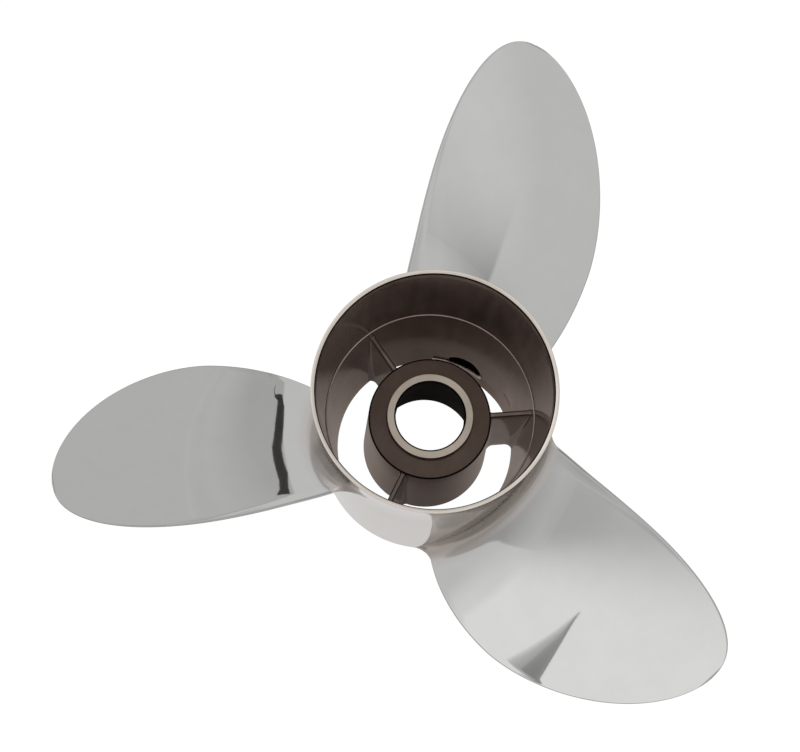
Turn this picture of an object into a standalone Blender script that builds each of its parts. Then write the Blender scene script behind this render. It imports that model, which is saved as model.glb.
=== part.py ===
"""A three-blade outboard propeller with its exhaust led out through the hub, stood on its fore end.

Metres. +Z runs aft along the shaft axis, so the open aft end is up. The origin is on the axis, in the
plane of the barrel's fore end. Angles are anticlockwise as seen from astern, from the first rib on +X.
It is a right-hand propeller: each blade's leading edge is its clockwise and lower edge.
"""
import math

import bmesh
import bpy

INCH = 0.0254
SEAM_GAP = 0.0003        # between pieces that touch on the real casting
ROUND_STEPS = 72         # facets round a turned piece, a multiple of three so that every blade fits alike
BLADES = 3

# The barrel: the outer tube that carries the blades
BARREL_LENGTH = 0.1415
RIM_RADIUS = 0.0566              # outside, at the open aft end
BARREL_WAIST_RADIUS = 0.0546     # outside, where the tail begins to flare
BARREL_FORE_RADIUS = 0.0534      # outside, at the fore end
FLARE_START = 0.104              # height at which the flared tail begins
FLARE_STATIONS = (0.0, 0.3, 0.6, 0.85)  # shares of the way up the flare
LIP_WIDTH = 0.0021               # radial width of the machined lip on the rim
LIP_SLOPE = 0.0007               # how far that lip falls towards the inside
LIP_ROUND = 0.0005
LIP_FOOT = 0.0045                # depth below the rim at which the lip's inner corner has run out
TAIL_BORE_RADIUS = 0.0505        # inside the tail, at its fore end
STEP_HEIGHT = 0.0827             # where the inside steps in from the tail to the exhaust passages
STEP_SLOPE = 0.0003
PASSAGE_AFT_RADIUS = 0.0500
PASSAGE_FORE_RADIUS = 0.0455
BARREL_CHAMFER = 0.0010

# The inner hub: the cup that the shaft's bush is pressed into
HUB_FORE_HEIGHT = 0.0010         # its fore face lies this far inside the barrel's
HUB_FORE_RADIUS = 0.0320
HUB_AFT_RADIUS = 0.0299
HUB_AFT_HEIGHT = 0.0753          # outer edge of its aft end wall
HUB_EDGE_CHAMFER = 0.0008
HUB_BORE_FORE_RADIUS = 0.0250    # the wide bore, open forward
HUB_BORE_AFT_RADIUS = 0.0240
HUB_BORE_DEPTH = 0.0700          # height at which the wide bore ends under the aft wall
HUB_BORE_CORNER = 0.0020
COLLAR_RADIUS = 0.0209           # the machined collar round the shaft hole
COLLAR_HEIGHT = 0.0821
COLLAR_FOOT_HEIGHT = 0.0780
SHAFT_HOLE_RADIUS = 0.0167
SHAFT_HOLE_CHAMFER = 0.0012
SHAFT_HOLE_MOUTH = 0.0015        # how far the wall round the hole is dished on its fore side

# The ribs that hold the inner hub in the barrel
RIB_THICKNESS = 0.0026
RIB_FORE_THICKNESS = 0.0042      # the casting's draft makes a rib thicker forward
RIB_FORE_HEIGHT = 0.0022
RIB_AFT_HEIGHT = 0.0735
RIB_FORE_FILLET = 0.0040
RIB_AFT_FILLET = 0.0010
RIB_FILLET_TURNS = (25, 45, 65, 90)  # degrees round the fillet, from the wall to the rib's flank

# The blades
TIP_RADIUS = 7 * INCH            # a 14 inch propeller
PITCH = 20.5 * INCH              # advance in one turn
RAKE = math.radians(29.8)        # how far the generator line leans aft
RAKE_BEND = 0.30                 # how far that line sags, by the product of its distances from rim and tip
GENERATOR_HEIGHT = 0.0726        # where that line would meet the barrel's radius
TIP_ANGLE = math.radians(69.16)  # from the first rib to the tip of the first blade
GENERATOR_ANGLE = math.radians(75.8)  # where the pressure face has the generator's height
LEADING_WIDTH = 0.0592           # arc from the tip's line to the leading edge, at its widest
LEADING_WIDEST_RADIUS = 0.1135
LEADING_ROOT_LOSS = 0.302        # share of that width lost down at the barrel
LEADING_CURVE = (1.81, 0.582)    # powers that round that edge off towards the tip
TRAILING_WIDTH = 0.0323
TRAILING_WIDEST_RADIUS = 0.1071
TRAILING_ROOT_LOSS = 0.091
TRAILING_CURVE = (2.20, 0.397)
ROOT_THICKNESS = 0.0095
TIP_THICKNESS = 0.0022
THICKNESS_TAPER = 1.2            # power of the fall from root to tip
EDGE_THICKNESS = 0.0016
TIP_FINENESS = 0.2               # near the tip a section is no thicker than this share of its width
SECTION_FULLNESS = 0.9           # power of the section's bulge: 1 is a parabola
FACE_HOLLOW = 0.005              # depth of the pressure face's hollow, as a share of the width
CUP_SLOPE = 0.24                 # the trailing edge's lip bends aft at this slope
CUP_WIDTH = 0.0048               # how wide that lip is beside the barrel
CUP_FIRST_RADIUS = 0.078         # it keeps that width up to here
CUP_END_RADIUS = 0.162           # and has run out here
CUP_START = 0.25                 # share of the span over which the cup comes in
ROOT_FILLET = 0.0075
FLOOR_CLEARANCE = 0.0005         # the blades' lowest points stay this far above the fore end's plane
CLEARANCE_BLEND = 0.0006         # height over which they level off to it
FILLET_SQUARENESS = 6            # power that keeps the fillet full along most of the chord
LEADING_FILLET_SHARE = 0.4       # the fillet is this much smaller at the leading edge
LEADING_FILLET_RUN = 0.18        # share of the chord over which it grows to full size
LEADING_TOE = 0.0080             # how far the fillet runs on past that edge, along the barrel's fore end
TRAILING_TOE = 0.0180            # and past the trailing edge, along the helix
CHORD_POINTS = 21
SPAN_STATIONS = 20
FILLET_HEIGHTS = (-0.0060, 0.0, 0.0006, 0.0016, 0.0032, 0.0052, 0.0075)
TIP_CUT = 0.985                  # the last section, as a share of the way round the tip's curve

CUTTER_RADIUS = 0.010            # inside of the ring that trims the blades' roots
CUTTER_OVERHANG = 0.020

POLISHED_STEEL = (0.78, 0.78, 0.77, 1.0)
POLISHED_ROUGHNESS = 0.12
CAST_STEEL = (0.27, 0.22, 0.20, 1.0)
CAST_ROUGHNESS = 0.35
HARD_CORNER = math.radians(35)


def steel(name, colour, roughness):
    """A bare stainless finish."""
    material = bpy.data.materials.new(name)
    material.use_nodes = True
    shader = material.node_tree.nodes["Principled BSDF"]
    shader.inputs["Base Color"].default_value = colour
    shader.inputs["Metallic"].default_value = 1.0
    shader.inputs["Roughness"].default_value = roughness
    return material


def new_object(name, shape, material):
    """Turns a bmesh into a smooth-shaded object that keeps its hard corners."""
    bmesh.ops.recalc_face_normals(shape, faces=shape.faces)
    mesh = bpy.data.meshes.new(name)
    shape.to_mesh(mesh)
    shape.free()
    mesh.shade_smooth()
    mesh.set_sharp_from_angle(angle=HARD_CORNER)
    mesh.materials.append(material)
    made = bpy.data.objects.new(name, mesh)
    bpy.context.scene.collection.objects.link(made)
    return made


def turned(name, profile, material):
    """A ring turned round the Z axis from a closed profile of (radius, height) points."""
    shape = bmesh.new()
    corners = [shape.verts.new((radius, 0, height)) for radius, height in profile]
    sides = [shape.edges.new((a, b)) for a, b in zip(corners, corners[1:] + corners[:1])]
    bmesh.ops.spin(shape, geom=corners + sides, cent=(0, 0, 0), axis=(0, 0, 1), dvec=(0, 0, 0),
                   angle=math.tau, steps=ROUND_STEPS, use_merge=True)
    return new_object(name, shape, material)


def lofted(sections):
    """A closed body through sections that each run up one side and back down the other."""
    shape = bmesh.new()
    rings = [[shape.verts.new(point) for point in section] for section in sections]
    count = len(rings[0])
    for low, high in zip(rings, rings[1:]):
        for i in range(count):
            j = (i + 1) % count
            shape.faces.new((low[i], low[j], high[j], high[i]))
    for ring in (rings[0], rings[-1]):
        for i in range(count // 2 - 1):
            shape.faces.new((ring[i], ring[i + 1], ring[count - 2 - i], ring[count - 1 - i]))
    return shape


def between(low, high, share):
    return low + (high - low) * share


def barrel_outer_radius(height):
    """The outside of the barrel: a slight draft, then the flared tail."""
    if height < FLARE_START:
        return between(BARREL_FORE_RADIUS, BARREL_WAIST_RADIUS, height / FLARE_START)
    share = (height - FLARE_START) / (BARREL_LENGTH - FLARE_START)
    return between(BARREL_WAIST_RADIUS, RIM_RADIUS, share * (1 + share) / 2)


def flare_heights():
    return [between(FLARE_START, BARREL_LENGTH, share) for share in FLARE_STATIONS]


def passage_radius(height):
    """The inside of the barrel between the ribs."""
    return between(PASSAGE_FORE_RADIUS, PASSAGE_AFT_RADIUS, height / STEP_HEIGHT)


def hub_outer_radius(height):
    share = (height - HUB_FORE_HEIGHT) / (HUB_AFT_HEIGHT - HUB_FORE_HEIGHT)
    return between(HUB_FORE_RADIUS, HUB_AFT_RADIUS, share)


def barrel_profile():
    """From the fore end up the outside, over the rim's lip and back down the inside."""
    outside = [(BARREL_FORE_RADIUS - BARREL_CHAMFER, 0), (BARREL_FORE_RADIUS, BARREL_CHAMFER)]
    outside += [(barrel_outer_radius(height), height) for height in flare_heights()]
    rim = [(RIM_RADIUS, BARREL_LENGTH - LIP_ROUND), (RIM_RADIUS - LIP_ROUND, BARREL_LENGTH),
           (RIM_RADIUS - 2 * LIP_ROUND, BARREL_LENGTH)]
    lip = [(RIM_RADIUS - LIP_WIDTH, BARREL_LENGTH - LIP_SLOPE),
           (RIM_RADIUS - LIP_WIDTH - LIP_ROUND, BARREL_LENGTH - LIP_FOOT)]
    tail = [(TAIL_BORE_RADIUS, STEP_HEIGHT + STEP_SLOPE), (PASSAGE_AFT_RADIUS, STEP_HEIGHT)]
    passage = [(PASSAGE_FORE_RADIUS, BARREL_CHAMFER), (PASSAGE_FORE_RADIUS + BARREL_CHAMFER, 0)]
    return outside + rim + lip + tail + passage


def hub_profile():
    """The cup: up the outside, over the aft end wall and collar, down the shaft hole and the bore."""
    return [(HUB_BORE_FORE_RADIUS, HUB_FORE_HEIGHT),
            (HUB_FORE_RADIUS, HUB_FORE_HEIGHT),
            (HUB_AFT_RADIUS, HUB_AFT_HEIGHT - HUB_EDGE_CHAMFER),
            (HUB_AFT_RADIUS - HUB_EDGE_CHAMFER, HUB_AFT_HEIGHT),
            (COLLAR_RADIUS, COLLAR_FOOT_HEIGHT),
            (COLLAR_RADIUS, COLLAR_HEIGHT),
            (SHAFT_HOLE_RADIUS + SHAFT_HOLE_CHAMFER, COLLAR_HEIGHT),
            (SHAFT_HOLE_RADIUS, COLLAR_HEIGHT - SHAFT_HOLE_CHAMFER),
            (SHAFT_HOLE_RADIUS, HUB_BORE_DEPTH + SHAFT_HOLE_MOUTH),
            (HUB_BORE_AFT_RADIUS - HUB_BORE_CORNER, HUB_BORE_DEPTH),
            (HUB_BORE_AFT_RADIUS, HUB_BORE_DEPTH - HUB_BORE_CORNER)]


def cutter_profile():
    """What the barrel takes up, grown by the seam's gap, to trim each blade's root to fit round it."""
    outside = [(barrel_outer_radius(height) + SEAM_GAP, height) for height in [0] + flare_heights()]
    return ([(CUTTER_RADIUS, -CUTTER_OVERHANG), (BARREL_FORE_RADIUS + SEAM_GAP, -CUTTER_OVERHANG)]
            + outside
            + [(RIM_RADIUS + SEAM_GAP, BARREL_LENGTH), (CUTTER_RADIUS, BARREL_LENGTH)])


def rib_section(height):
    """One level of a rib on +X: out along its left side from the hub, and back along its right."""
    inner = hub_outer_radius(height) + SEAM_GAP
    outer = passage_radius(height) - SEAM_GAP
    share = (height - RIB_FORE_HEIGHT) / (RIB_AFT_HEIGHT - RIB_FORE_HEIGHT)
    half = between(RIB_FORE_THICKNESS, RIB_THICKNESS, share) / 2
    fillet = between(RIB_FORE_FILLET, RIB_AFT_FILLET, share)
    foot = [(0, 0)]                  # from the middle of the rib's end: sideways, and off the wall
    for degrees in RIB_FILLET_TURNS:
        turn = math.radians(degrees)
        off_wall = fillet * (1 - math.cos(turn)) * (degrees > RIB_FILLET_TURNS[0])
        foot.append((half + fillet * (1 - math.sin(turn)), off_wall))
    left = [(math.sqrt((inner + off_wall) ** 2 - y * y), y) for y, off_wall in foot]
    left += [(math.sqrt((outer - off_wall) ** 2 - y * y), y) for y, off_wall in reversed(foot)]
    right = [(x, -y) for x, y in reversed(left[1:-1])]
    return [(x, y, height) for x, y in left + right]


def rib_shape():
    heights = [between(RIB_FORE_HEIGHT, RIB_AFT_HEIGHT, share) for share in (0, 0.5, 1)]
    shape = bmesh.new()
    rings = [[shape.verts.new(point) for point in rib_section(height)] for height in heights]
    for low, high in zip(rings, rings[1:]):
        for i, corner in enumerate(low):
            j = (i + 1) % len(low)
            shape.faces.new((corner, low[j], high[j], high[i]))
    shape.faces.new(rings[0])
    shape.faces.new(rings[-1])
    return shape


def edge_arc(radius, width, widest, root_loss, curve):
    """Arc from the tip's line to one edge of the blade, at a radius."""
    if radius < widest:
        share = (widest - radius) / (widest - RIM_RADIUS)
        return width * (1 - root_loss * share ** 2)
    share = (radius - widest) / (TIP_RADIUS - widest)
    return width * (1 - share ** curve[0]) ** curve[1]


def fillet_growth(radius):
    """How far the root fillet stands out from the blade's own faces, at a radius."""
    climb = (radius - BARREL_WAIST_RADIUS) / ROOT_FILLET
    if climb >= 1:
        return 0.0
    return ROOT_FILLET * (1 - math.sqrt(1 - (1 - max(climb, 0)) ** 2))


def cup_rise(radius, from_edge):
    """How far the cup lifts the face, at a distance from the trailing edge."""
    share = (CUP_END_RADIUS - radius) / (CUP_END_RADIUS - CUP_FIRST_RADIUS)
    width = CUP_WIDTH * min(max(share, 0), 1)
    return CUP_SLOPE * max(0, width - from_edge)


def cleared(height):
    """Keeps a height above the fore end's plane, and blends it in."""
    blend = max(CLEARANCE_BLEND - abs(height - FLOOR_CLEARANCE), 0) / CLEARANCE_BLEND
    return max(height, FLOOR_CLEARANCE) + blend ** 3 * CLEARANCE_BLEND / 6


def blade_section(radius):
    """One section of the first blade, rolled on a cylinder: along the pressure face and back."""
    growth = fillet_growth(radius)
    leading = edge_arc(radius, LEADING_WIDTH, LEADING_WIDEST_RADIUS, LEADING_ROOT_LOSS, LEADING_CURVE)
    trailing = edge_arc(radius, TRAILING_WIDTH, TRAILING_WIDEST_RADIUS, TRAILING_ROOT_LOSS,
                        TRAILING_CURVE)
    width = leading + trailing
    pitch_angle = math.atan(PITCH / (math.tau * radius))
    toe_share = growth / ROOT_FILLET
    start = -leading - LEADING_TOE * toe_share
    end = trailing + TRAILING_TOE * toe_share * math.cos(pitch_angle)
    span = max(0, (radius - RIM_RADIUS) / (TIP_RADIUS - RIM_RADIUS))
    full = between(TIP_THICKNESS, ROOT_THICKNESS, (1 - span) ** THICKNESS_TAPER)
    full = min(full, EDGE_THICKNESS + TIP_FINENESS * width)
    pressure, suction = [], []
    for i in range(CHORD_POINTS):
        share = (1 - math.cos(math.pi * i / (CHORD_POINTS - 1))) / 2
        arc = between(start, end, share)
        chord = min(max((arc + leading) / width, 0), 1)
        bulge = (4 * chord * (1 - chord)) ** SECTION_FULLNESS
        thickness = between(EDGE_THICKNESS, full, bulge)
        swell = growth * math.sqrt(1 - abs(2 * share - 1) ** FILLET_SQUARENESS)
        swell *= between(LEADING_FILLET_SHARE, 1, min(1, share / LEADING_FILLET_RUN))
        middle = FACE_HOLLOW * width * 4 * chord * (1 - chord)
        middle -= cup_rise(radius, (1 - chord) * width) * min(1, span / CUP_START)
        for face, offset in ((pressure, middle - swell), (suction, middle + thickness + swell)):
            face.append(helix_point(radius, arc, max(arc, -leading), offset, pitch_angle))
    return pressure + suction[::-1]


def helix_point(radius, arc, climb, offset, pitch_angle):
    """A point on the pressure face's helix, moved forward off it by an offset.

    arc is how far round it lies from the tip's line, and climb the arc that gives its height.
    """
    angle = TIP_ANGLE + (arc + offset * math.sin(pitch_angle)) / radius
    lead = TIP_ANGLE + climb / radius - GENERATOR_ANGLE
    height = GENERATOR_HEIGHT + (radius - RIM_RADIUS) * math.tan(RAKE)
    height += RAKE_BEND * (radius - RIM_RADIUS) * (radius - TIP_RADIUS)
    height += PITCH * lead / math.tau - offset * math.cos(pitch_angle)
    return (radius * math.cos(angle), radius * math.sin(angle), cleared(height))


def blade_shape():
    radii = [BARREL_WAIST_RADIUS + height for height in FILLET_HEIGHTS]
    first = radii[-1]
    for i in range(1, SPAN_STATIONS + 1):
        turn = TIP_CUT * i / SPAN_STATIONS * math.pi / 2
        radii.append(first + (TIP_RADIUS - first) * math.sin(turn))
    return lofted([blade_section(radius) for radius in radii])


for old in list(bpy.data.objects):
    bpy.data.objects.remove(old)

polished = steel("polished_steel", POLISHED_STEEL, POLISHED_ROUGHNESS)
cast = steel("cast_steel", CAST_STEEL, CAST_ROUGHNESS)

turned("hub_barrel", barrel_profile(), polished)
turned("inner_hub", hub_profile(), cast)

root_cutter = turned("root_cutter", cutter_profile(), polished)
root_cutter.hide_render = True
root_cutter.display_type = "WIRE"

for name, shape, material in (("rib", rib_shape(), cast), ("blade", blade_shape(), polished)):
    first = new_object(f"{name}_1", shape, material)
    copies = [bpy.data.objects.new(f"{name}_{number}", first.data) for number in range(2, BLADES + 1)]
    for number, piece in enumerate([first] + copies):
        piece.rotation_euler.z = math.tau * number / BLADES
        if number > 0:
            bpy.context.scene.collection.objects.link(piece)
        if name == "blade":
            cut = piece.modifiers.new("fit round the barrel", "BOOLEAN")
            cut.operation = "DIFFERENCE"
            cut.solver = "EXACT"
            cut.object = root_cutter
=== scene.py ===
"""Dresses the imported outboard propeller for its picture: polished blades and barrel, bare casting inside.

Metres, in the CAD model's own frame. +Z runs aft along the shaft axis, and the propeller stands on its fore
end. Angles run anticlockwise as seen from astern, from the first rib on +X.
"""
import math

import bmesh
import bpy
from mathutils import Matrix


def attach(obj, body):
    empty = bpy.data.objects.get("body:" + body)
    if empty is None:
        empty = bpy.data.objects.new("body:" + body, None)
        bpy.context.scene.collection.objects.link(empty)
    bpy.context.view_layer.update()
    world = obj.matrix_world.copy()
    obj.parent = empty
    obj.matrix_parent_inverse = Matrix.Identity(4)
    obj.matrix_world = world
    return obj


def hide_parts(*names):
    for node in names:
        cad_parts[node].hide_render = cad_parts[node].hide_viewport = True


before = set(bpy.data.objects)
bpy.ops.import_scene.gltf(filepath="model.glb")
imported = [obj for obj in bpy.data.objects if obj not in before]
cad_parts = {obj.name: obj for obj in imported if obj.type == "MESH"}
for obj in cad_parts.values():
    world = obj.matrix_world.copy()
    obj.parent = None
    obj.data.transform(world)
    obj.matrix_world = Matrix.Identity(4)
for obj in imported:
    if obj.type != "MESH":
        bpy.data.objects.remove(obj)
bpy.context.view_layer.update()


# The barrel is the outer tube of the casting, and carries the blades. Its outside is polished, its aft
# rim is turned bright, and its inside keeps the brown skin of the investment mould. It was turned only on
# the ends: the rest is as cast, with a slight draft and a flared tail.
BLADES = 3
BARREL_LENGTH = 0.1415
RIM_RADIUS = 0.0566
WAIST_RADIUS = 0.0546            # outside, where the tail begins to flare
FORE_RADIUS = 0.0534             # outside, at the fore end
FLARE_START = 0.104
LIP_WIDTH = 0.0021
LIP_FLAT = 0.0009                # the level part of the lip, outside its bevel
LIP_FALL = 0.0007
LIP_BLACK_BAND = 0.0008                # the height of a band painted near-black just inside the lip
BORE_MOUTH_FALL = 0.0045         # below the rim, where the tail's bore has drawn in by BORE_MOUTH_DRAW
BORE_MOUTH_DRAW = 0.0005
TAIL_BORE_RADIUS = 0.0505
STEP_HEIGHT = 0.0827             # where the tail steps in to the exhaust passages
STEP_SLOPE = 0.0003
PASSAGE_AFT_RADIUS = 0.0500
PASSAGE_FORE_RADIUS = 0.0455
TURNED_STEPS = 288

POCKET_BEARING = 59              # degrees; a half-moon pocket in the wall of one passage
POCKET_HALF_WIDTH = 0.0094
POCKET_SILL = 0.0100
POCKET_RISE = 0.0125
POCKET_DEPTH = 0.0040
POCKET_EDGE = 0.07               # the share of its half-width over which its edge slopes
SILL_DEPTH = 0.0013              # how far the wall below the pocket stands out
SILL_START = math.radians(-14)   # and between which bearings, from the pocket's middle
SILL_END = math.radians(22)
SILL_EDGE = math.radians(1.5)
FLANK_START = math.radians(-38)  # before the sill, the wall rises gently over this much
FLANK_RUN = math.radians(24)
HOLLOWS_BELOW = 0.03             # the wall is plain above this height
MARK_BEARING = 21.6              # degrees; a short cut in the wall of one passage, painted near-black
MARK_HALF_SPAN = 4.3
MARK_HEIGHT = 0.0242
MARK_HALF_WIDTH = 0.0004
MARK_DEPTH = 0.0001

# NEAR_BLACK marks faces painted near-black: painted shade inside the pocket, a band just inside the lip, and
# the mark
POLISHED, MACHINED, CAST, NEAR_BLACK = range(4)


class Field:
    """A value in a Geometry Nodes tree: writing a sum with these lays down the tree's Math nodes."""

    def __init__(self, tree, socket):
        self.tree = tree
        self.socket = socket

    def __add__(self, other):
        return self.tree.maths("ADD", self, other)

    def __sub__(self, other):
        return self.tree.maths("SUBTRACT", self, other)

    def __rsub__(self, other):
        return self.tree.maths("SUBTRACT", other, self)

    def __mul__(self, other):
        return self.tree.maths("MULTIPLY", self, other)

    def __truediv__(self, other):
        return self.tree.maths("DIVIDE", self, other)

    def __pow__(self, other):
        return self.tree.maths("POWER", self, other)

    def __neg__(self):
        return self.tree.maths("MULTIPLY", self, -1)

    __radd__ = __add__
    __rmul__ = __mul__


class Tree:
    """One Geometry Nodes tree, with a named input for each size of the piece that it makes."""

    def __init__(self, name, sizes):
        self.group = bpy.data.node_groups.new(name, "GeometryNodeTree")
        sockets = self.group.interface
        sockets.new_socket("Geometry", in_out="OUTPUT", socket_type="NodeSocketGeometry")
        sockets.new_socket("Geometry", in_out="INPUT", socket_type="NodeSocketGeometry")
        self.sizes = sizes
        for label, value in sizes.items():
            kind = "NodeSocketInt" if isinstance(value, int) else "NodeSocketFloat"
            sockets.new_socket(label, in_out="INPUT", socket_type=kind)
        self.given = self.group.nodes.new("NodeGroupInput")
        self.result = self.group.nodes.new("NodeGroupOutput")

    def size(self, label):
        return Field(self, self.given.outputs[label])

    def join(self, value, socket):
        """Feeds a field, or a plain number, into a node's socket."""
        if isinstance(value, Field):
            self.group.links.new(value.socket, socket)
        else:
            socket.default_value = value

    def node(self, kind, inputs=None, **settings):
        made = self.group.nodes.new(kind)
        for key, value in settings.items():
            setattr(made, key, value)
        for key, value in (inputs or {}).items():
            self.join(value, made.inputs[key])
        return made

    def out(self, node, key=0):
        return Field(self, node.outputs[key])

    def maths(self, operation, *values):
        made = self.node("ShaderNodeMath", operation=operation)
        for value, socket in zip(values, made.inputs):
            self.join(value, socket)
        return self.out(made)

    def clamped(self, value):
        return self.maths("MINIMUM", self.maths("MAXIMUM", value, 0), 1)

    def eased(self, value):
        """Rises smoothly from 0 to 1 as the value does."""
        share = self.clamped(value)
        return share * share * (3 - 2 * share)

    def round_axis(self, radius, angle, height):
        return self.out(self.node("ShaderNodeCombineXYZ", {"X": radius * self.maths("COSINE", angle),
                                                           "Y": radius * self.maths("SINE", angle),
                                                           "Z": height}))

    def skinned(self, grid, finish, where):
        """Marks a grid's faces with their finish, moves it into shape, closes its seams and smooths it."""
        kept = self.node("GeometryNodeStoreNamedAttribute", {"Geometry": self.out(grid), "Name": "finish"},
                         data_type="FLOAT", domain="FACE")
        self.join(finish, kept.inputs["Value"])
        shaped = self.node("GeometryNodeSetPosition", {"Geometry": self.out(kept), "Position": where})
        closed = self.node("GeometryNodeMergeByDistance", {"Geometry": self.out(shaped), "Distance": 2e-6})
        return self.out(self.node("GeometryNodeSetShadeSmooth", {"Geometry": self.out(closed)}))

    def finished(self, geometry, finishes):
        """Ends the tree: instances made real, then each finish set on the faces that carry its number."""
        shape = self.out(self.node("GeometryNodeRealizeInstances", {"Geometry": geometry}))
        for number, material in enumerate(finishes):
            chosen = self.node("FunctionNodeCompare", data_type="FLOAT", operation="EQUAL")
            marked = self.node("GeometryNodeInputNamedAttribute", {"Name": "finish"}, data_type="FLOAT")
            self.join(self.out(marked), chosen.inputs[0])
            chosen.inputs[1].default_value = number
            paint = self.node("GeometryNodeSetMaterial", {"Geometry": shape, "Selection": self.out(chosen)})
            paint.inputs["Material"].default_value = material
            shape = self.out(paint)
        self.join(shape, self.result.inputs[0])

    def make(self, name, seed_mesh, hard_corner):
        """Runs the tree on a seed mesh and keeps what it gives as a plain object, with no modifier."""
        seed = bpy.data.objects.new(name + "_seed", seed_mesh)
        bpy.context.scene.collection.objects.link(seed)
        nodes = seed.modifiers.new("shape", "NODES")
        nodes.node_group = self.group
        for item in self.group.interface.items_tree:
            if item.in_out == "INPUT" and item.name in self.sizes:
                nodes[item.identifier] = self.sizes[item.name]
        drawn = seed.evaluated_get(bpy.context.evaluated_depsgraph_get())
        mesh = bpy.data.meshes.new_from_object(drawn)
        bpy.data.objects.remove(seed)
        # the tree's own grid starts with an empty material slot, which no face uses
        if mesh.materials[0] is None:
            mesh.materials.pop(index=0)
        mesh.name = name
        mesh.set_sharp_from_angle(angle=math.radians(hard_corner))
        made = bpy.data.objects.new(name, mesh)
        bpy.context.scene.collection.objects.link(made)
        return made


def rounded(corners, steps=4, hold=0.00012):
    """A profile with its corners rounded: (radius, height, rounding, finish) in, points and finishes out.

    Each straight run keeps a holding point near its ends, so that smooth shading stays on the corner.
    """
    points = []
    count = len(corners)
    for i, (x, z, turn, finish) in enumerate(corners):
        before = corners[i - 1]
        after = corners[(i + 1) % count]
        back = (before[0] - x, before[1] - z)
        on = (after[0] - x, after[1] - z)
        back_length, on_length = math.hypot(*back), math.hypot(*on)
        back = (back[0] / back_length, back[1] / back_length)
        on = (on[0] / on_length, on[1] / on_length)
        if turn == 0:
            points.append((x, z, finish))
            continue
        half = math.acos(max(-1, min(1, back[0] * on[0] + back[1] * on[1]))) / 2
        run = turn / math.tan(half)
        bisector = (back[0] + on[0], back[1] + on[1])
        length = math.hypot(*bisector)
        reach = turn / math.sin(half)
        centre = (x + bisector[0] / length * reach, z + bisector[1] / length * reach)
        start = (x + back[0] * run, z + back[1] * run)
        end = (x + on[0] * run, z + on[1] * run)
        first = math.atan2(start[1] - centre[1], start[0] - centre[0])
        sweep = math.atan2(end[1] - centre[1], end[0] - centre[0]) - first
        sweep = (sweep + math.pi) % math.tau - math.pi
        points.append((start[0] + back[0] * hold, start[1] + back[1] * hold, before[3]))
        for step in range(steps + 1):
            angle = first + sweep * step / steps
            points.append((centre[0] + turn * math.cos(angle), centre[1] + turn * math.sin(angle), finish))
        points.append((end[0] + on[0] * hold, end[1] + on[1] * hold, finish))
    return points


def profile_mesh(name, points):
    """A profile's points, with the number of the finish that follows each."""
    mesh = bpy.data.meshes.new(name)
    mesh.from_pydata([(radius, 0, height) for radius, height, finish in points], [], [])
    finishes = mesh.attributes.new("finish", "FLOAT", "POINT")
    finishes.data.foreach_set("value", [float(finish) for radius, height, finish in points])
    return mesh


def turned(name, points, finishes, hard_corner=50, hollows=None):
    """A piece turned round the axis from a closed profile, as on a lathe, then hollowed where asked."""
    tree = Tree("turned " + name, {"Steps round": TURNED_STEPS, "Profile points": len(points)})
    steps = tree.size("Steps round")
    count = tree.size("Profile points")
    grid = tree.node("GeometryNodeMeshGrid", {"Size X": 1.0, "Size Y": 1.0})
    tree.join(steps + 1, grid.inputs["Vertices X"])
    tree.join(count + 1, grid.inputs["Vertices Y"])
    place = tree.node("ShaderNodeSeparateXYZ", {0: tree.out(tree.node("GeometryNodeInputPosition"))})
    turn = (tree.out(place, "X") + 0.5) * math.tau
    row = tree.maths("ROUND", (tree.out(place, "Y") + 0.5) * count)
    row = tree.maths("MODULO", row, count)
    profile = Field(tree, tree.given.outputs[0])
    corner = tree.node("GeometryNodeSampleIndex", {"Geometry": profile, "Index": row},
                       data_type="FLOAT_VECTOR")
    tree.join(tree.out(tree.node("GeometryNodeInputPosition")), corner.inputs["Value"])
    corner = tree.node("ShaderNodeSeparateXYZ", {0: tree.out(corner)})
    radius = tree.out(corner, "X")
    painted_black = 0
    if hollows:
        radius, painted_black = hollows(tree, turn, tree.out(corner, "Z"), radius)
    where = tree.round_axis(radius, turn, tree.out(corner, "Z"))
    # a face lies between two rows, and takes the finish of the lower-numbered one
    face_row = tree.maths("FLOOR", (tree.out(place, "Y") + 0.5) * count)
    marked = tree.node("GeometryNodeInputNamedAttribute", {"Name": "finish"}, data_type="FLOAT")
    picked = tree.node("GeometryNodeSampleIndex", {"Geometry": profile, "Index": face_row})
    tree.join(tree.out(marked), picked.inputs["Value"])
    tree.finished(tree.skinned(grid, tree.out(picked) + painted_black, where), finishes)
    return tree.make(name, profile_mesh(name, points), hard_corner)


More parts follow.
